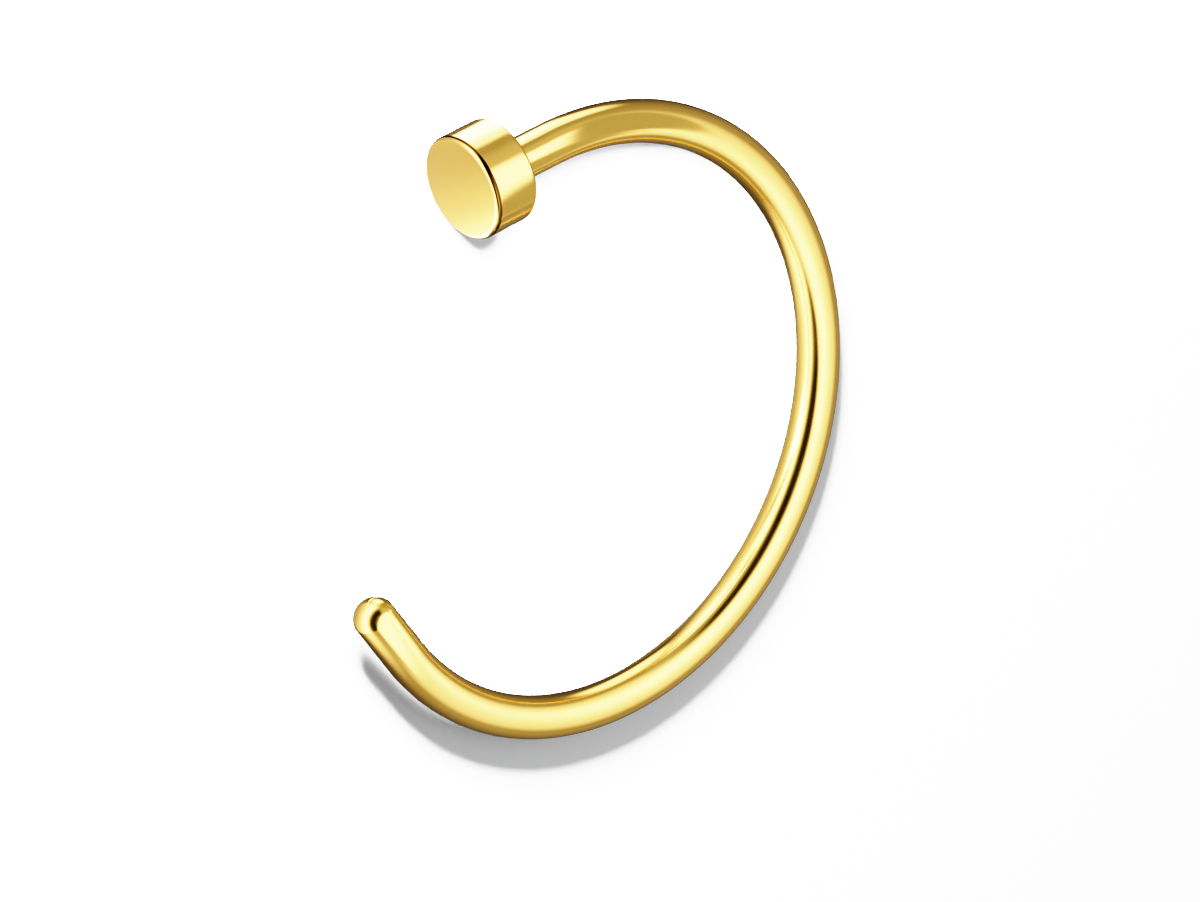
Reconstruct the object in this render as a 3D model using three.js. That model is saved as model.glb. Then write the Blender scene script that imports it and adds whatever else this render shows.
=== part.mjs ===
// A nose hoop: one length of round wire bent to an open C, with a thick flat disc at one end
// and a rounded tip at the other. It is one piece of metal: the disc is fused to the wire and polished over.
//
// The hoop is drawn as it is made. A straight blank is turned about its own length, tip to disc,
// and is then bent along the centre line: a short straight, an arc, and a short straight.
//
// Millimetres and degrees, +Z up. The hoop lies on its side on the plane Z = 0, its opening towards -Y.
import * as THREE from 'three';
import { mergeVertices } from 'three/addons/utils/BufferGeometryUtils.js';

// ---- The wire and the hoop ----
const WIRE_DIAMETER = 0.8;          // 20 gauge, the usual wire of a nose hoop
const HOOP_MEAN_RADIUS = 5.55;      // to the wire's centre: 10.3 mm clear inside, 11.9 mm over all
const BENT_ANGLE = 242.1;           // how much of the circle is bent wire
const TIP_STRAIGHT = 1.20;          // the wire stays straight for this length before the tip's dome
const STOP_STRAIGHT = 1.12;         // and for this length before the disc
const TIP_HEIGHT = 0.32;            // the tip's dome is a little less than half a ball
const BEND_CENTRE_TOWARDS = 90;     // the middle of the bend, so that the opening faces -Y

// ---- The disc that stops the hoop from slipping out ----
const STOP_DIAMETER = 1.98;
const STOP_THICKNESS = 1.0;
const STOP_EDGE_RADIUS = 0.07;      // both rims are broken by polishing

// ---- How it rests ----
// The disc is thicker than the wire, so the hoop lies a little tilted, on the disc's rim
// and on the wire across from it, with its centre of mass over the line between them.
const REST_TILT = 3.10;
const REST_LOW_SIDE = 61.7;         // the direction in which the hoop's plane falls

// ---- How finely the round surfaces are cut ----
const SIDES_AROUND = 28;            // a multiple of four
const STEPS_ALONG_BEND = 76;
const STEPS_IN_STRAIGHT = 3;
const STEPS_IN_TIP = 6;
const STEPS_IN_EDGE = 3;

const WIRE_RADIUS = WIRE_DIAMETER / 2;
const TIP_BALL_RADIUS = (WIRE_RADIUS ** 2 + TIP_HEIGHT ** 2) / (2 * TIP_HEIGHT);
const TIP_BALL_CENTRE = TIP_BALL_RADIUS - TIP_HEIGHT;
const TIP_EDGE_TURN = Math.asin(TIP_BALL_CENTRE / TIP_BALL_RADIUS);
const STOP_RADIUS = STOP_DIAMETER / 2;
const BEND_START = THREE.MathUtils.degToRad(BEND_CENTRE_TOWARDS - BENT_ANGLE / 2);
const BEND_END = THREE.MathUtils.degToRad(BEND_CENTRE_TOWARDS + BENT_ANGLE / 2);
const BENT_LENGTH = HOOP_MEAN_RADIUS * (BEND_END - BEND_START);

// Places along the blank, measured from where the tip's dome begins.
const BEND_STARTS_AT = TIP_STRAIGHT;
const BEND_ENDS_AT = BEND_STARTS_AT + BENT_LENGTH;
const STOP_STARTS_AT = BEND_ENDS_AT + STOP_STRAIGHT;
const STOP_ENDS_AT = STOP_STARTS_AT + STOP_THICKNESS;

/** The blank's outline, radius against length, from the tip's pole to the middle of the disc's face. */
function blankOutline() {
  const outline = [];
  const arc = (length, radius, size, from, to, steps) => {
    for (let i = 0; i <= steps; i += 1) {
      const turn = from + ((to - from) * i) / steps;
      outline.push(new THREE.Vector2(radius + size * Math.cos(turn), length + size * Math.sin(turn)));
    }
  };
  const straight = (radius, from, to, steps) => {
    for (let i = 1; i <= steps; i += 1) {
      outline.push(new THREE.Vector2(radius, from + ((to - from) * i) / steps));
    }
  };

  arc(TIP_BALL_CENTRE, 0, TIP_BALL_RADIUS, -Math.PI / 2, -TIP_EDGE_TURN, STEPS_IN_TIP);
  straight(WIRE_RADIUS, 0, BEND_STARTS_AT, STEPS_IN_STRAIGHT);
  straight(WIRE_RADIUS, BEND_STARTS_AT, BEND_ENDS_AT, STEPS_ALONG_BEND);
  straight(WIRE_RADIUS, BEND_ENDS_AT, STOP_STARTS_AT, STEPS_IN_STRAIGHT);

  const edgeCentre = STOP_RADIUS - STOP_EDGE_RADIUS;
  arc(STOP_STARTS_AT + STOP_EDGE_RADIUS, edgeCentre, STOP_EDGE_RADIUS, -Math.PI / 2, 0, STEPS_IN_EDGE);
  arc(STOP_ENDS_AT - STOP_EDGE_RADIUS, edgeCentre, STOP_EDGE_RADIUS, 0, Math.PI / 2, STEPS_IN_EDGE);
  outline.push(new THREE.Vector2(0, STOP_ENDS_AT));

  outline[0].x = 0;
  return outline;
}

/** The centre line's point, outward direction and forward direction at a place along the blank. */
function centreLine(place) {
  const onBend = THREE.MathUtils.clamp(place, BEND_STARTS_AT, BEND_ENDS_AT);
  const turn = BEND_START + (onBend - BEND_STARTS_AT) / HOOP_MEAN_RADIUS;
  const outward = new THREE.Vector3(Math.cos(turn), Math.sin(turn), 0);
  const forward = new THREE.Vector3(-Math.sin(turn), Math.cos(turn), 0);
  const point = outward.clone().multiplyScalar(HOOP_MEAN_RADIUS).addScaledVector(forward, place - onBend);
  return { point, outward, forward };
}

/** The blank, revolved about its length and bent along the centre line. */
function hoopGeometry() {
  const blank = new THREE.LatheGeometry(blankOutline(), SIDES_AROUND);
  blank.deleteAttribute('normal');
  blank.deleteAttribute('uv');
  const position = blank.getAttribute('position');
  for (let i = 0; i < position.count; i += 1) {
    const { point, outward } = centreLine(position.getY(i));
    point.addScaledVector(outward, position.getX(i));
    point.z += position.getZ(i);
    position.setXYZ(i, point.x, point.y, point.z);
  }
  const hoop = mergeVertices(blank, 1e-5);
  hoop.setIndex(withoutEmptyTriangles(hoop.getIndex().array));
  hoop.computeVertexNormals();
  return hoop;
}

/** A lathe leaves triangles with no area at its two poles; this drops them. */
function withoutEmptyTriangles(index) {
  const kept = [];
  for (let i = 0; i < index.length; i += 3) {
    const [a, b, c] = index.slice(i, i + 3);
    if (a !== b && b !== c && c !== a) kept.push(a, b, c);
  }
  return kept;
}

const polishedGold = new THREE.MeshStandardMaterial({ color: 0xe6c15a, roughness: 0.12, metalness: 1.0 });
const noseHoop = new THREE.Mesh(hoopGeometry(), polishedGold);
noseHoop.name = 'nose_hoop';

// Lay the hoop down: turn it about the level line square to its low side, then set it on Z = 0
// with the middle of its bounding box over the origin.
const lowSide = THREE.MathUtils.degToRad(REST_LOW_SIDE);
const hinge = new THREE.Vector3(-Math.sin(lowSide), Math.cos(lowSide), 0);
noseHoop.quaternion.setFromAxisAngle(hinge, THREE.MathUtils.degToRad(REST_TILT));
const box = new THREE.Box3().setFromObject(noseHoop, true);
noseHoop.position.set(-(box.min.x + box.max.x) / 2, -(box.min.y + box.max.y) / 2, -box.min.z);

const part = new THREE.Group();
part.add(noseHoop);

export default part;
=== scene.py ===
# %% [markdown]
# # A gold nose hoop with a flat disc stop
# The object is one piece of polished wire: an open hoop about 12 mm across, with a thick flat disc
# at one end and a rounded tip at the other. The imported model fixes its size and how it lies, so the
# script loads that first and keeps the box it fills. A fine hoop is then modelled in the same frame,
# finished in gold, and lit.

# %% Load the frame
import math

import bmesh
import bpy
from mathutils import Matrix, Quaternion, Vector


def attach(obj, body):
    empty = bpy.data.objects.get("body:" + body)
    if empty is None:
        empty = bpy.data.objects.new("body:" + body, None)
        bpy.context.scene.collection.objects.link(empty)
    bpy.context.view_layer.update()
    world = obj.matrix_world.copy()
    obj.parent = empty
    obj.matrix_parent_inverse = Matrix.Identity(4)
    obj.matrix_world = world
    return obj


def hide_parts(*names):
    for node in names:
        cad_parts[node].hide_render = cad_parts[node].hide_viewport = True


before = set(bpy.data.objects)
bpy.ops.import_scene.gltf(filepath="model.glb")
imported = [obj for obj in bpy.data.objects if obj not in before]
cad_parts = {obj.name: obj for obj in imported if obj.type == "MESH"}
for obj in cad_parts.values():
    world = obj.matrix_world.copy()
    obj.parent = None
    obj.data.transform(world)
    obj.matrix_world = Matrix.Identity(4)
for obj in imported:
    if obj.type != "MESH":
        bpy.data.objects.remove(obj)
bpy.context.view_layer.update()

MM = 0.001

# %% [markdown]
# ## The sizes
# A nose hoop is bent from gauge wire, so everything follows from the wire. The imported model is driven
# by the same numbers, except that its disc is 1 mm thick with a flat face, and here the disc is a
# little thinner at its rim and crowned. Lengths are in metres and angles in radians from here on.

# %% Driving sizes
WIRE_RADIUS = 0.4 * MM
HOOP_RADIUS = 5.55 * MM
BENT_ANGLE = math.radians(242.1)
TIP_STRAIGHT = 1.20 * MM
STOP_STRAIGHT = 1.12 * MM
STOP_RADIUS = 0.99 * MM
STOP_THICKNESS = 0.95 * MM
RIM_RADIUS = 0.09 * MM
REST_TILT = math.radians(3.10)
REST_LOW_SIDE = math.radians(61.7)

TIP_ANGLE = math.pi / 2 - BENT_ANGLE / 2
STOP_ANGLE = math.pi / 2 + BENT_ANGLE / 2
BENT_LENGTH = HOOP_RADIUS * BENT_ANGLE
print("length of wire, mm:", round((BENT_LENGTH + TIP_STRAIGHT + STOP_STRAIGHT) / MM, 2))

# %% [markdown]
# ## The camera
# Something this small is best seen through a long lens from some way off, which keeps its
# perspective flat. The camera looks down at the lying hoop and is rolled on its side, so that the
# hoop stands up in the view with its opening to the left.

# %% Camera
CAMERA_DIRECTION = math.radians(-97.39)
CAMERA_ELEVATION = math.radians(47.57)
CAMERA_ROLL = math.radians(110.14)
CAMERA_DISTANCE = 258 * MM
CAMERA_TARGET = Vector((0.487, -0.193, 0.949)) * MM
CAMERA_LENS = 431

camera_data = bpy.data.cameras.new("long_lens")
camera_data.lens = CAMERA_LENS
camera_data.sensor_width = 36
camera_data.clip_start = 0.01
camera_data.clip_end = 10
camera = bpy.data.objects.new("camera", camera_data)
bpy.context.scene.collection.objects.link(camera)
bpy.context.scene.camera = camera

flat = math.cos(CAMERA_ELEVATION)
towards_camera = Vector((
    flat * math.cos(CAMERA_DIRECTION),
    flat * math.sin(CAMERA_DIRECTION),
    math.sin(CAMERA_ELEVATION),
))
level = (-towards_camera).to_track_quat("-Z", "Y")
camera.rotation_mode = "QUATERNION"
camera.rotation_quaternion = level @ Quaternion((0, 0, 1), CAMERA_ROLL)
camera.location = CAMERA_TARGET + CAMERA_DISTANCE * towards_camera
print("the camera stands", round(camera.location.z / MM), "mm above the floor")

# %% [markdown]
# ## Places along the wire
# The hoop's centre line is a short straight, a long arc and a short straight, all in one plane.
# Each station on it has an outward direction, away from the hoop's middle, and a forward direction,
# from the tip towards the disc. A ring of the wire's skin is drawn square to the forward direction.

# %% Stations
def outward(angle):
    return Vector((math.cos(angle), math.sin(angle), 0))


def forward(angle):
    return Vector((-math.sin(angle), math.cos(angle), 0))


def station(angle):
    """The centre line's point at an angle round the hoop."""
    return HOOP_RADIUS * outward(angle)


def section(angle):
    """Places a circle drawn in the XY plane square to the wire at an angle round the hoop."""
    turned = Matrix((outward(angle), Vector((0, 0, 1)), -forward(angle))).transposed().to_4x4()
    return Matrix.Translation(station(angle)) @ turned


print("the bends end, mm apart:", round((station(TIP_ANGLE) - station(STOP_ANGLE)).length / MM, 2))

# %% [markdown]
# ## The bent wire
# A curve with a round bevel would give the same wire, but its ends are hard to shape. Here one circle
# is spun round the middle of the hoop, as a torus is swept. The spin operator leaves both ends open,
# which is what the straights, the tip and the disc need to grow from.

# %% Bend the wire
SIDES = 96
STEPS = 300

hoop = bmesh.new()
bmesh.ops.create_circle(hoop, segments=SIDES, radius=WIRE_RADIUS, matrix=section(TIP_ANGLE))
tip_loop = hoop.edges[:]
spun = bmesh.ops.spin(
    hoop, geom=hoop.verts[:] + hoop.edges[:], cent=(0, 0, 0), axis=(0, 0, 1),
    angle=BENT_ANGLE, steps=STEPS, use_duplicate=False,
)
stop_loop = [part for part in spun["geom_last"] if isinstance(part, bmesh.types.BMEdge)]
print("bent wire:", len(hoop.faces), "faces,", len(tip_loop), "and", len(stop_loop), "edges at its ends")


# %% [markdown]
# ## Growing an end
# The straights, the dome and the disc are all made the same way: the open ring at the end is
# extruded, moved forward along the axis and scaled about it. A helper does one such step, and a
# shape is then a short list of steps, as a lathe worker would describe it.

# %% The growing step
def grow(ring, centre, axis, advance, radius):
    """Extrudes a ring of edges by advance along axis to a new radius; returns the new ring and centre."""
    extruded = bmesh.ops.extrude_edge_only(hoop, edges=ring)["geom"]
    verts = [part for part in extruded if isinstance(part, bmesh.types.BMVert)]
    edges = [part for part in extruded if isinstance(part, bmesh.types.BMEdge)]
    new_ring = [edge for edge in edges if all(vert in verts for vert in edge.verts)]
    now = (verts[0].co - centre).length
    bmesh.ops.scale(hoop, vec=(radius / now,) * 3, space=Matrix.Translation(-centre), verts=verts)
    bmesh.ops.translate(hoop, vec=advance * axis, verts=verts)
    return new_ring, centre + advance * axis


def close(ring):
    """Draws the last small ring together into one pole."""
    verts = list(dict.fromkeys(vert for edge in ring for vert in edge.verts))
    middle = sum((vert.co for vert in verts), Vector()) / len(verts)
    bmesh.ops.pointmerge(hoop, verts=verts, merge_co=middle)


# %% [markdown]
# ## The rounded tip
# The free end is pushed through the piercing, so it is rounded over with a cupped burr and polished.
# The cup is a little wider than the wire, so the dome is slightly less than half a ball, and a faint
# line is left where its cut begins. The rings of the dome follow the surface's lean, from the wire's
# edge, where it is steep, to the pole, where it is level.

# %% Tip
EDGE_LEAN = math.radians(77)
BALL_RADIUS = WIRE_RADIUS / math.sin(EDGE_LEAN)
DOME_STEPS = 24
POLE_RADIUS = 0.012 * WIRE_RADIUS

tip_axis = -forward(TIP_ANGLE)
ring, centre = grow(tip_loop, station(TIP_ANGLE), tip_axis, TIP_STRAIGHT, WIRE_RADIUS)
height = 0.0
for step in range(1, DOME_STEPS + 1):
    lean = EDGE_LEAN * (1 - step / DOME_STEPS)
    radius = max(BALL_RADIUS * math.sin(lean), POLE_RADIUS)
    new_height = BALL_RADIUS * (math.cos(lean) - math.cos(EDGE_LEAN))
    ring, centre = grow(ring, centre, tip_axis, new_height - height, radius)
    height = new_height
close(ring)
print("tip: a dome", round(height / MM, 2), "mm high, on a straight of", round(TIP_STRAIGHT / MM, 2), "mm")

# %% [markdown]
# ## The disc stop
# The other end carries a disc, fused on and turned true. Its shoulder and sides are plain. Its face
# is polished on a soft wheel, which leaves it very slightly crowned, higher in the middle, and that
# is what makes the reflection run from dark to light across it. A ring just inside each rim keeps the
# flat parts flat when the rims are rounded.

# %% Disc
FACE_CROWN = 0.06 * MM
FACE_RINGS = 14
RIM_MARGIN = RIM_RADIUS + 0.03 * MM

stop_axis = forward(STOP_ANGLE)
ring, centre = grow(stop_loop, station(STOP_ANGLE), stop_axis, STOP_STRAIGHT, WIRE_RADIUS)
neck_edges = ring
ring, centre = grow(ring, centre, stop_axis, 0.0, STOP_RADIUS - RIM_MARGIN)
ring, centre = grow(ring, centre, stop_axis, 0.0, STOP_RADIUS)
shoulder_edges = ring
ring, centre = grow(ring, centre, stop_axis, RIM_MARGIN, STOP_RADIUS)
ring, centre = grow(ring, centre, stop_axis, STOP_THICKNESS - 2 * RIM_MARGIN, STOP_RADIUS)
ring, centre = grow(ring, centre, stop_axis, RIM_MARGIN, STOP_RADIUS)
face_edges = ring
height = 0.0
for step in range(FACE_RINGS + 1):
    share = (1 - RIM_MARGIN / STOP_RADIUS) * (1 - step / FACE_RINGS)
    radius = max(STOP_RADIUS * share, POLE_RADIUS)
    new_height = FACE_CROWN * (1 - share * share)
    ring, centre = grow(ring, centre, stop_axis, new_height - height, radius)
    height = new_height
close(ring)
print("disc:", round(2 * STOP_RADIUS / MM, 2), "mm across and", round(STOP_THICKNESS / MM, 2), "mm thick")

# %% [markdown]
# ## Broken edges
# No polished edge is sharp. The bevel operator rounds the disc's two rims and leaves a small fillet
# of solder where the wire enters its shoulder. Called from code, it needs its profile and segments.

# %% Round the rims
NECK_RADIUS = 0.05 * MM
RIM_SEGMENTS = 8

for edges, size in ((neck_edges, NECK_RADIUS), (shoulder_edges, RIM_RADIUS), (face_edges, RIM_RADIUS)):
    bmesh.ops.bevel(
        hoop, geom=edges, offset=size, offset_type="OFFSET", segments=RIM_SEGMENTS, profile=0.5,
        affect="EDGES", material=-1, loop_slide=True, clamp_overlap=True,
    )
print("after rounding the rims:", len(hoop.faces), "faces")

# %% [markdown]
# ## Coordinates that follow the wire
# Polishing marks run along the wire and round the disc, so the finish needs to know where it is on
# the straight blank that the hoop was bent from. Each vertex keeps that place as an attribute, in
# millimetres: length along the blank, then the two distances from its centre line. The length starts
# where the bend does, at the tip's end.

# %% Blank coordinates
def blank_place(point):
    """Where a point of the bent hoop lay on the straight blank."""
    angle = math.atan2(point.y, point.x)
    if angle < -math.pi / 2:
        angle += 2 * math.pi
    angle = min(max(angle, TIP_ANGLE), STOP_ANGLE)
    offset = point - station(angle)
    length = HOOP_RADIUS * (angle - TIP_ANGLE) + offset.dot(forward(angle))
    return Vector((length, offset.dot(outward(angle)), offset.z))


blank_layer = hoop.verts.layers.float_vector.new("blank")
for vert in hoop.verts:
    vert[blank_layer] = blank_place(vert.co) / MM
blank_ends = [pick(vert[blank_layer].x for vert in hoop.verts) for pick in (min, max)]
print("the blank runs from, to, mm:", [round(end, 2) for end in blank_ends])

# %% [markdown]
# ## Laying it down
# The disc is thicker than the wire, so the hoop does not lie flat. It tips a few degrees, onto the
# disc's rim and the wire across from it. The turn and the shift go into the mesh, which leaves the
# object itself at the origin, unturned.

# %% Rest on the floor
resting_turn = Quaternion(Vector((-math.sin(REST_LOW_SIDE), math.cos(REST_LOW_SIDE), 0)), REST_TILT)


def lay_down(mesh_in_progress):
    """Tips the hoop as it rests, its lowest point at height zero and its box centred on the origin."""
    verts = mesh_in_progress.verts
    bmesh.ops.rotate(mesh_in_progress, cent=(0, 0, 0), matrix=resting_turn.to_matrix(), verts=verts)
    spots = [vert.co for vert in verts]
    middle = [(min(s[axis] for s in spots) + max(s[axis] for s in spots)) / 2 for axis in range(2)]
    shift = Vector((-middle[0], -middle[1], -min(s.z for s in spots)))
    bmesh.ops.translate(mesh_in_progress, vec=shift, verts=verts)


def piece(name, mesh_in_progress):
    """Turns a bmesh into a smooth-shaded object at the origin."""
    bmesh.ops.recalc_face_normals(mesh_in_progress, faces=mesh_in_progress.faces)
    mesh = bpy.data.meshes.new(name)
    mesh_in_progress.to_mesh(mesh)
    mesh_in_progress.free()
    mesh.shade_smooth()
    made = bpy.data.objects.new(name, mesh)
    bpy.context.scene.collection.objects.link(made)
    return made


lay_down(hoop)
gold_hoop = piece("gold_hoop", hoop)
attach(gold_hoop, "root")
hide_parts("nose_hoop")
print("gold_hoop:", sum(len(face.vertices) - 2 for face in gold_hoop.data.polygons), "triangles")


# %% [markdown]
# ## Building node trees
# Three small helpers keep node trees readable. The first adds a node, sets its fixed values and links
# its inputs in one call. The others are the two steps that come up most: one sum, and one soft step
# from 0 to a top value.

# %% Node helpers
def add(tree, kind, settings=None, **inputs):
    """Adds a node. An input given as a socket is linked, and any other value is set."""
    made = tree.nodes.new(kind)
    for name, value in (settings or {}).items():
        setattr(made, name, value)
    for name, value in inputs.items():
        key = int(name[1:]) if name[0] == "_" else name.replace("_", " ")
        if isinstance(value, bpy.types.NodeSocket):
            tree.links.new(value, made.inputs[key])
        else:
            made.inputs[key].default_value = value
    return made


def math_node(tree, operation, first, second=0.0):
    return add(tree, "ShaderNodeMath", {"operation": operation}, _0=first, _1=second).outputs[0]


def soft_step(tree, value, start, end, top=1.0):
    """Takes a value smoothly from 0 where it equals start to top where it equals end."""
    return add(
        tree, "ShaderNodeMapRange", {"interpolation_type": "SMOOTHSTEP"},
        _0=value, _1=start, _2=end, _3=0.0, _4=top,
    ).outputs[0]


# %% [markdown]
# ## Polish lines
# A buffing wheel leaves very fine lines along the wire. Real scratches could be modelled, but at this
# size they are only a shimmer, so a noise texture stretched along the blank does it. It is a node
# group, so that another finish could use it with a fineness of its own.

# %% Polish lines group
LINE_STRETCH = (0.03, 1.0, 1.0)


def polish_lines_group():
    """Fine lines that run along the wire, as one value between 0 and 1."""
    tree = bpy.data.node_groups.new("polish_lines", "ShaderNodeTree")
    socket = tree.interface.new_socket
    socket("Place", in_out="INPUT", socket_type="NodeSocketVector")
    socket("Fineness", in_out="INPUT", socket_type="NodeSocketFloat").default_value = 30.0
    socket("Lines", in_out="OUTPUT", socket_type="NodeSocketFloat")
    inside = add(tree, "NodeGroupInput")
    squeezed = add(
        tree, "ShaderNodeVectorMath", {"operation": "MULTIPLY"},
        _0=inside.outputs["Place"], _1=LINE_STRETCH,
    )
    lines = add(
        tree, "ShaderNodeTexNoise", {"noise_dimensions": "3D"},
        Vector=squeezed.outputs[0], Scale=inside.outputs["Fineness"], Detail=4.0, Roughness=0.6,
    )
    outside = add(tree, "NodeGroupOutput")
    tree.links.new(lines.outputs["Fac"], outside.inputs["Lines"])
    return tree


polish_lines = polish_lines_group()
print("group", polish_lines.name, "has", len(polish_lines.nodes), "nodes")

# %% [markdown]
# ## Polished gold
# Gold is a metal, so its colour is the colour of its reflections: the base colour is nearly all that
# the shader needs. What makes it look real is that the polish is never perfect. The colour and the
# roughness wander a little, and the fine lines give a faint bump. One line is a painted reflection: a
# thin brown line painted round the disc, where its side turns into its face, stands in for the dark flag
# mirrored in the rounded rim. The blank's length says where that is, and the distance from the centre
# line keeps it off the wire.

# %% Gold material
LINE_FINENESS = 34.0
LINE_DEPTH = 0.01 * MM
CLOUD_SIZE = 1.3
DEEPER_GOLD = (1.0, 0.662, 0.228, 1.0)
PALER_GOLD = (1.0, 0.684, 0.252, 1.0)
# The rim line is a painted reflection: its brown stands in for the dark flag mirrored in the disc's rounded
# rim.
PAINTED_RIM_REFLECTION_COLOUR = (0.05, 0.018, 0.004, 1.0)
PAINTED_RIM_REFLECTION_STRENGTH = 0.93
PAINTED_RIM_REFLECTION_WIDTH = 0.036
PAINTED_RIM_REFLECTION_INSET = 0.06
PAINTED_RIM_REFLECTION_AT = (BENT_LENGTH + STOP_STRAIGHT + STOP_THICKNESS) / MM - PAINTED_RIM_REFLECTION_INSET


def painted_rim_reflection_mask(tree, place):
    """A mask, 1 on the thin line round the disc's outer rim where a dark reflection is painted."""
    parts = add(tree, "ShaderNodeSeparateXYZ", _0=place)
    off_axis = add(tree, "ShaderNodeCombineXYZ", Y=parts.outputs["Y"], Z=parts.outputs["Z"]).outputs[0]
    radial = add(tree, "ShaderNodeVectorMath", {"operation": "LENGTH"}, _0=off_axis).outputs["Value"]
    from_line = math_node(tree, "ABSOLUTE", math_node(tree, "SUBTRACT", parts.outputs["X"], PAINTED_RIM_REFLECTION_AT))
    near_line = soft_step(tree, from_line, PAINTED_RIM_REFLECTION_WIDTH, 0.4 * PAINTED_RIM_REFLECTION_WIDTH)
    on_side = math_node(tree, "GREATER_THAN", radial, 0.8 * STOP_RADIUS / MM)
    return math_node(tree, "MULTIPLY", near_line, on_side)


def polished_gold(lines_group):
    material = bpy.data.materials.new("polished_gold")
    material.use_nodes = True
    tree = material.node_tree
    tree.nodes.clear()
    place = add(tree, "ShaderNodeAttribute", {"attribute_name": "blank"}).outputs["Vector"]
    group = add(tree, "ShaderNodeGroup", {"node_tree": lines_group}, Place=place, Fineness=LINE_FINENESS)
    lines = group.outputs["Lines"]
    cloud = add(
        tree, "ShaderNodeTexNoise", {"noise_dimensions": "3D"}, Vector=place, Scale=CLOUD_SIZE, Detail=3.0,
    ).outputs["Fac"]
    clean = add(
        tree, "ShaderNodeMix", {"data_type": "RGBA"}, _0=cloud, _6=DEEPER_GOLD, _7=PALER_GOLD,
    ).outputs[2]
    # Paints the dark reflection line round the disc's rim into the base colour.
    gold_with_painted_reflection = add(
        tree, "ShaderNodeMix", {"data_type": "RGBA"}, _6=clean, _7=PAINTED_RIM_REFLECTION_COLOUR,
        _0=math_node(tree, "MULTIPLY", painted_rim_reflection_mask(tree, place), PAINTED_RIM_REFLECTION_STRENGTH),
    ).outputs[2]
    roughness = add(
        tree, "ShaderNodeMapRange", _0=math_node(tree, "MULTIPLY", lines, cloud),
        _1=0.15, _2=0.4, _3=0.12, _4=0.18,
    ).outputs[0]
    bump = add(tree, "ShaderNodeBump", Strength=0.02, Distance=LINE_DEPTH, Height=lines).outputs["Normal"]
    gold = add(
        tree, "ShaderNodeBsdfPrincipled",
        Base_Color=gold_with_painted_reflection, Metallic=1.0, Roughness=roughness, Normal=bump,
    )
    tree.links.new(gold.outputs["BSDF"], add(tree, "ShaderNodeOutputMaterial").inputs["Surface"])
    return material


gold_hoop.data.materials.append(polished_gold(polish_lines))
print("materials:", [m.name for m in gold_hoop.data.materials])

# %% [markdown]
# ## The floor
# The hoop lies on a plain white table. The floor takes the soft shadow and nothing else: reflections
# pass it by, and come from the studio that the next cells build all the way round.

# %% Floor
FLOOR_RADIUS = 3.0
TABLE_WHITE = (0.9, 0.9, 0.9, 1)

ground = bmesh.new()
bmesh.ops.create_circle(ground, cap_ends=True, segments=64, radius=FLOOR_RADIUS)
floor = piece("floor", ground)
white = bpy.data.materials.new("white_table")
white.use_nodes = True
table_top = white.node_tree.nodes["Principled BSDF"]
table_top.inputs["Base Color"].default_value = TABLE_WHITE
table_top.inputs["Roughness"].default_value = 0.9
table_top.inputs["Specular IOR Level"].default_value = 0.0
floor.data.materials.append(white)
floor.visible_glossy = False
print("floor:", FLOOR_RADIUS, "m out from the hoop")


# %% [markdown]
# ## Glow by place
# Every light below is a glow that changes from place to place. A ramp takes a list of glows to nodes.
# The studio is laid out from the camera's side, which is not quite the frame's -Y, so directions and
# places are first turned to it.

# %% Glow helpers
FRONT_TURN = CAMERA_DIRECTION + math.pi / 2


def glow_ramp(tree, value, stops):
    """A colour ramp that takes a value from 0 to 1 through a list of glows."""
    ramp = add(tree, "ShaderNodeValToRGB", _0=value)
    elements = ramp.color_ramp.elements
    while len(elements) < len(stops):
        elements.new(0.5)
    for element, (share, level) in zip(elements, stops):
        element.position = share
        element.color = (level, level, level, 1)
    return ramp.outputs["Color"]


def from_front(tree, vector):
    """A direction or place turned about Z, so that -Y is the camera's side of the hoop."""
    return add(
        tree, "ShaderNodeVectorRotate", {"rotation_type": "Z_AXIS"}, Vector=vector, Angle=-FRONT_TURN,
    ).outputs[0]


def towards(azimuth, elevation):
    """A direction by degrees: azimuth 0 is the camera's side and 90 is to its right of the hoop."""
    flat = math.cos(math.radians(elevation))
    return (
        flat * math.sin(math.radians(azimuth)),
        -flat * math.cos(math.radians(azimuth)),
        math.sin(math.radians(elevation)),
    )


def lighter(tree, first, second):
    return add(
        tree, "ShaderNodeMix", {"data_type": "RGBA", "blend_type": "LIGHTEN"}, _0=1.0, _6=first, _7=second,
    ).outputs[2]


# %% [markdown]
# ## The light tent
# Polished metal shows its surroundings, so the light is the look. A jeweller's light tent does it:
# a white sheet low in front, a wide soft lamp overhead leaning back, and between the two a black flag
# across the front, which draws the crisp dark line that makes gold look polished. The back of the
# tent is dim, and a soft round card lights the left. The tent is painted on the world by direction.

# %% Light tent
FRONT_TENT = (
    # elevation in degrees, glow
    (-90, 0.55), (-65, 0.66), (-45, 1.04), (-35, 1.25), (-25, 1.7), (-15, 2.5), (-5, 3.2), (5, 3.0),
    (12, 2.2), (17, 1.3), (22, 0.55), (27, 0.22), (33, 0.08), (43, 0.055), (50, 0.12), (57, 0.3), (90, 0.3),
)
BACK_TENT = (
    (-90, 0.60), (-70, 0.45), (-50, 0.16), (-35, 0.20), (-20, 0.32), (0, 0.45), (12, 0.5),
    (25, 0.7), (90, 0.8),
)
FRONT_MIDDLE = 15.0
FRONT_ENDS = 64.0
BACK_STARTS = 98.0
LAMP_GLOW = 2.7
SIDE_CARD_GLOW = 2.2


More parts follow.
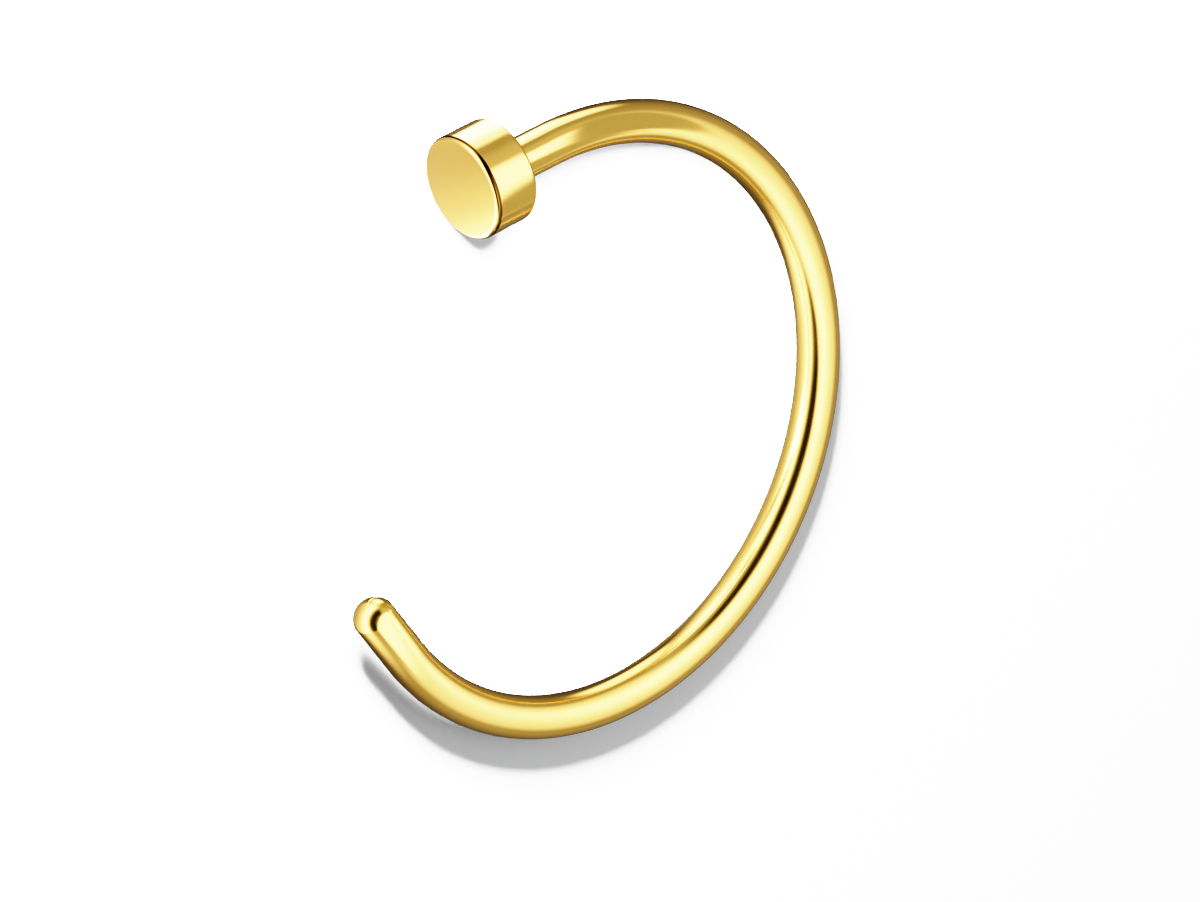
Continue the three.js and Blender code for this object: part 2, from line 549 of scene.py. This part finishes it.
def glow_by_elevation(tree, elevation, stops):
    """A colour ramp over elevation, from straight down to straight up."""
    share = add(tree, "ShaderNodeMapRange", _0=elevation, _1=-90.0, _2=90.0, _3=0.0, _4=1.0).outputs[0]
    return glow_ramp(tree, share, [((degrees + 90) / 180, glow) for degrees, glow in stops])


def card(tree, direction, facing, edge, middle, glow):
    """A round soft card: its glow fades between two cosines from its middle."""
    near = add(tree, "ShaderNodeVectorMath", {"operation": "DOT_PRODUCT"}, _0=direction, _1=facing)
    return soft_step(tree, near.outputs["Value"], edge, middle, glow)


world = bpy.data.worlds.new("light_tent")
bpy.context.scene.world = world
world.use_nodes = True
sky = world.node_tree
sky.nodes.clear()
facing = from_front(sky, add(sky, "ShaderNodeTexCoord").outputs["Generated"])
split = add(sky, "ShaderNodeSeparateXYZ", _0=facing)
elevation = math_node(sky, "MULTIPLY", math_node(sky, "ARCSINE", split.outputs["Z"]), 180 / math.pi)
azimuth = math_node(
    sky, "ARCTAN2", split.outputs["X"], math_node(sky, "MULTIPLY", split.outputs["Y"], -1.0)
)
turned = math_node(sky, "SUBTRACT", math_node(sky, "MULTIPLY", azimuth, 180 / math.pi), FRONT_MIDDLE)
backness = soft_step(sky, math_node(sky, "ABSOLUTE", turned), FRONT_ENDS, BACK_STARTS)
tent = add(
    sky, "ShaderNodeMix", {"data_type": "RGBA"}, _0=backness,
    _6=glow_by_elevation(sky, elevation, FRONT_TENT),
    _7=glow_by_elevation(sky, elevation, BACK_TENT),
).outputs[2]
tent = lighter(sky, tent, card(sky, facing, towards(180, 65), 0.54, 0.76, LAMP_GLOW))
tent = lighter(sky, tent, card(sky, facing, towards(-88, -20), 0.90, 0.99, SIDE_CARD_GLOW))
print("light tent:", len(sky.nodes), "nodes")

# %% [markdown]
# ## Three kinds of ray
# A tent that is right for the gold would be wrong for everything else. So three kinds of ray see three
# things: the camera sees plain white, the table is lit evenly, and the gold reflects the tent.

# %% Who sees the tent
BACKDROP_WHITE = 6.0
TABLE_FILL = 0.55

rays = add(sky, "ShaderNodeLightPath")
reflected = add(sky, "ShaderNodeBackground", Color=tent, Strength=1.0).outputs[0]
plain = add(sky, "ShaderNodeBackground", Color=(1, 1, 1, 1), Strength=BACKDROP_WHITE).outputs[0]
fill = add(sky, "ShaderNodeBackground", Color=(1, 1, 1, 1), Strength=TABLE_FILL).outputs[0]
lit = add(sky, "ShaderNodeMixShader", _0=rays.outputs["Is Diffuse Ray"], _1=reflected, _2=fill)
seen = add(sky, "ShaderNodeMixShader", _0=rays.outputs["Is Camera Ray"], _1=lit.outputs[0], _2=plain)
sky.links.new(seen.outputs[0], add(sky, "ShaderNodeOutputWorld").inputs["Surface"])
front_glows = [glow for _, glow in FRONT_TENT]
print("in front the tent's glow runs from", min(front_glows), "to", max(front_glows))


# %% [markdown]
# ## Near lights
# The tent alone looks the same from every part of the hoop, and lights held close do not. They are
# flat sheets that glow, and only reflections see them. An oval on a sheet is measured in its own
# half-widths: the distance is 1 at its edge.

# %% Near light helpers
def light_nodes(made, name):
    """Gives a sheet an empty material to build its glow in."""
    material = bpy.data.materials.new(name)
    material.use_nodes = True
    material.node_tree.nodes.clear()
    made.data.materials.append(material)
    return material.node_tree


def only_reflected(made):
    made.visible_camera = False
    made.visible_diffuse = False
    made.visible_shadow = False


def oval(tree, place, middle, reach):
    """The distance from an oval's middle, in half-widths; middle and reach are in mm."""
    scaled = add(
        tree, "ShaderNodeVectorMath", {"operation": "MULTIPLY_ADD"},
        _0=place, _1=(1 / (reach[0] * MM), 1 / (reach[1] * MM), 0.0),
        _2=(-middle[0] / reach[0], -middle[1] / reach[1], 0.0),
    ).outputs[0]
    return add(tree, "ShaderNodeVectorMath", {"operation": "LENGTH"}, _0=scaled).outputs["Value"]


def shine(tree, colour, strength, cover=None):
    """Ends a light's nodes: it glows with a colour, and is clear where its cover is 0."""
    shader = add(tree, "ShaderNodeEmission", Color=colour, Strength=strength).outputs[0]
    if cover is not None:
        clear = add(tree, "ShaderNodeBsdfTransparent").outputs[0]
        shader = add(tree, "ShaderNodeMixShader", _0=cover, _1=clear, _2=shader).outputs[0]
    tree.links.new(shader, add(tree, "ShaderNodeOutputMaterial").inputs["Surface"])


# %% [markdown]
# ## The near lamp
# The arms that face each other across the hoop both see a small lamp held close above it, and the
# ends of the wire hardly do, which is why the bright line swells and fades as it runs round. The lamp
# is a plane just above the hoop. Its glow fades from an oval middle, with a second, weaker oval to the
# left, and its front edge fades out, so that no edge is drawn in the metal.

# %% Near lamp
LAMP_HEIGHT = 6.7 * MM
LAMP_HALF = 25 * MM
LAMP_START = 0.5 * MM
LAMP_FADE = (
    # distance from the middle in half-widths, glow
    (0.0, 3.0), (1.5, 2.5), (3.0, 1.75), (4.5, 1.45), (6.0, 1.3), (8.0, 1.15), (9.5, 1.0), (12, 0.75),
    (16, 0.55), (25, 0.4),
)
FADE_REACH = LAMP_FADE[-1][0]
SECOND_GLOW = 0.9
FRONT_EDGE = (0.3 * MM, 3.2 * MM)

sheet = bmesh.new()
bmesh.ops.create_grid(sheet, x_segments=1, y_segments=1, size=LAMP_HALF)
bmesh.ops.translate(sheet, vec=(0, LAMP_HALF + LAMP_START, LAMP_HEIGHT), verts=sheet.verts)
bmesh.ops.rotate(sheet, cent=(0, 0, 0), verts=sheet.verts, matrix=Matrix.Rotation(FRONT_TURN, 3, "Z"))
near_lamp = piece("near_lamp", sheet)
lamp_tree = light_nodes(near_lamp, "lamp_glow")
lamp_spot = from_front(lamp_tree, add(lamp_tree, "ShaderNodeTexCoord").outputs["Object"])
lamp_share = math_node(lamp_tree, "DIVIDE", oval(lamp_tree, lamp_spot, (1.0, 4.6), (1.6, 1.0)), FADE_REACH)
first = glow_ramp(lamp_tree, lamp_share, [(reach / FADE_REACH, level) for reach, level in LAMP_FADE])
second = soft_step(lamp_tree, oval(lamp_tree, lamp_spot, (-13.5, 3.0), (5.0, 4.0)), 1.2, 0.0, SECOND_GLOW)
depth = add(lamp_tree, "ShaderNodeSeparateXYZ", _0=lamp_spot).outputs["Y"]
shine(lamp_tree, lighter(lamp_tree, first, second), 1.0, cover=soft_step(lamp_tree, depth, *FRONT_EDGE))
only_reflected(near_lamp)
print("near lamp:", round(LAMP_HEIGHT / MM, 1), "mm above the table")

# %% [markdown]
# ## A scrim over the top arc
# The arm nearest the disc is duller than the rest. A small grey scrim hangs low over it, between the
# metal and the lamp, with a soft edge round its two ovals. It also gives the disc's side its second
# dark band.

# %% Scrim
SCRIM_HEIGHT = 3.2 * MM
SCRIM_HALF = 11 * MM
SCRIM_GLOW = 0.55
SCRIM_EDGE = (1.3, 0.85)

scrim_mesh = bmesh.new()
bmesh.ops.create_grid(scrim_mesh, x_segments=1, y_segments=1, size=SCRIM_HALF)
bmesh.ops.translate(scrim_mesh, vec=(0, 0, SCRIM_HEIGHT), verts=scrim_mesh.verts)
scrim = piece("scrim", scrim_mesh)
scrim_tree = light_nodes(scrim, "grey_scrim")
scrim_spot = from_front(scrim_tree, add(scrim_tree, "ShaderNodeTexCoord").outputs["Object"])
over_arm = oval(scrim_tree, scrim_spot, (-2.9, -1.4), (1.8, 2.7))
beside_disc = oval(scrim_tree, scrim_spot, (-6.7, -0.7), (2.5, 2.2))
nearer = math_node(scrim_tree, "MINIMUM", over_arm, beside_disc)
shine(scrim_tree, (1, 1, 1, 1), SCRIM_GLOW, cover=soft_step(scrim_tree, nearer, *SCRIM_EDGE))
only_reflected(scrim)
print("scrim:", round(SCRIM_HEIGHT / MM, 1), "mm above the table")


# %% [markdown]
# ## Two cards for the disc
# The disc's face is the one flat mirror on the piece, so it shows a single patch of its surroundings.
# A jeweller gives it something to show: a small card, graded from grey to white, held square to the
# reflection. Because the face is slightly crowned, the whole grade fits into it. The disc is seen from
# above, so it mirrors what is low: both cards reach below the table's top, which reflections pass by.
# A card's place goes into its mesh, and its grade is measured from its middle.

# %% Hold a card
CARD_REACH = 5 * MM
CARD_HALF = 4.2 * MM


def hold_card(name, spot, way, down):
    """Holds a square card off a spot, facing it. Returns the card, its middle, its down and its across."""
    across = down.cross(way).normalized()
    card_down = way.cross(across).normalized()
    turn = Matrix((across, card_down, across.cross(card_down))).transposed().to_4x4()
    middle = spot + CARD_REACH * way
    mesh = bmesh.new()
    stand = Matrix.Translation(middle) @ turn
    bmesh.ops.create_grid(mesh, x_segments=1, y_segments=1, size=CARD_HALF, matrix=stand)
    made = piece(name, mesh)
    only_reflected(made)
    return made, middle, card_down, across


lengths = [item.vector.x for item in gold_hoop.data.attributes["blank"].data]
face_middle = gold_hoop.data.vertices[lengths.index(max(lengths))].co
face_axis = resting_turn @ stop_axis
view_down = -(camera.rotation_quaternion @ Vector((0, 1, 0)))
print("the middle of the disc's face, mm:", [round(c / MM, 2) for c in face_middle])

# %% [markdown]
# ## The graded card
# A mirror sends the camera's line of sight off at the same angle on its other side, and the card
# stands there. Its grade runs down the view and slants a little.

# %% Face card
GRADE_HALF = 2.5 * MM
FACE_GRADE = (
    (0.0, 0.9), (0.23, 0.83), (0.32, 0.86), (0.41, 0.95), (0.5, 1.07), (0.59, 1.19), (0.68, 1.49),
    (0.77, 2.2), (0.86, 3.3), (1.0, 5.0),
)
FACE_SLANT = 0.35

reflected_way = 2 * face_axis.dot(towards_camera) * face_axis - towards_camera
face_card, middle, card_down, across = hold_card("face_card", face_middle, reflected_way, view_down)
face_tree = light_nodes(face_card, "graded_card")
off_middle = add(
    face_tree, "ShaderNodeVectorMath", {"operation": "SUBTRACT"},
    _0=add(face_tree, "ShaderNodeTexCoord").outputs["Object"], _1=middle,
).outputs[0]
along = add(
    face_tree, "ShaderNodeVectorMath", {"operation": "DOT_PRODUCT"},
    _0=off_middle, _1=card_down + FACE_SLANT * across,
).outputs["Value"]
share = add(
    face_tree, "ShaderNodeMapRange", _0=along, _1=-GRADE_HALF, _2=GRADE_HALF, _3=0.0, _4=1.0,
).outputs[0]
shine(face_tree, glow_ramp(face_tree, share, FACE_GRADE), 1.0)
print("card:", face_card.name, "held at, mm:", [round(c / MM, 1) for c in middle])

# %% [markdown]
# ## The bright card
# A second card lights the top edge of the disc's side. It is round and bright, with a soft edge.

# %% Edge card
EDGE_GLOW = 4.4
EDGE_FADE = (2.8 * MM, 1.0 * MM)

edge_way = Vector(towards(-94, -34))
edge_way.rotate(Quaternion((0, 0, 1), FRONT_TURN))
edge_side = (view_down - view_down.dot(face_axis) * face_axis).normalized()
edge_spot = face_middle - 0.5 * STOP_THICKNESS * face_axis - STOP_RADIUS * edge_side
edge_card, middle = hold_card("edge_card", edge_spot, edge_way, view_down)[:2]
edge_tree = light_nodes(edge_card, "edge_card")
off_middle = add(
    edge_tree, "ShaderNodeVectorMath", {"operation": "DISTANCE"},
    _0=add(edge_tree, "ShaderNodeTexCoord").outputs["Object"], _1=middle,
).outputs["Value"]
shine(edge_tree, (1, 1, 1, 1), EDGE_GLOW, cover=soft_step(edge_tree, off_middle, *EDGE_FADE))
print("card:", edge_card.name, "held at, mm:", [round(c / MM, 1) for c in middle])

# %% [markdown]
# ## The shadow
# A soft lamp stands low on the disc's side of the hoop and quite near it. Near matters: a part close
# to the lamp is lit from above and hides most of its own shadow, and a part far from it throws a
# longer one. So the shadow shows mostly past the hoop's far arc. Reflections don't see this lamp.

# %% Key light
KEY_PLACE = Vector((-11.3, -16.2, 12.0)) * MM
KEY_SIZE = 6.0 * MM
KEY_WATTS = 0.50

key_data = bpy.data.lights.new("key", "POINT")
key_data.energy = KEY_WATTS
key_data.shadow_soft_size = KEY_SIZE
key = bpy.data.objects.new("key", key_data)
key.location = KEY_PLACE
key.visible_glossy = False
bpy.context.scene.collection.objects.link(key)
print("key light:", round(KEY_PLACE.length / MM), "mm from the hoop's middle")

# %% [markdown]
# ## Tone
# The render is to have the crisp tone of a catalogue: blacks a little deeper than they were, middle
# tones left alone, and a short shoulder, so that the brightest reflections turn from gold to lemon
# white. One curve over the scene's light does that before the standard transform. Its points are
# light in, light out. The light that the gold throws back onto the table is left out, because it
# comes out as specks.

# %% View transform
TONE = ((0.04, 0.002), (0.125, 0.045), (0.25, 0.18), (0.5, 0.468), (1.0, 0.84), (1.6, 0.945), (3.0, 0.985))
BRIGHTEST = 6.0

view = bpy.context.scene.view_settings
view.view_transform = "Standard"
view.use_curve_mapping = True
view.curve_mapping.clip_max_x = BRIGHTEST
tone_curve = view.curve_mapping.curves[3]
tone_curve.points[-1].location = (BRIGHTEST, 1)
for light_in, light_out in TONE:
    tone_curve.points.new(light_in, light_out)
for point in tone_curve.points:
    point.handle_type = "AUTO_CLAMPED"
view.curve_mapping.update()
bpy.context.scene.cycles.caustics_reflective = False
print("tone curve:", len(tone_curve.points), "points")
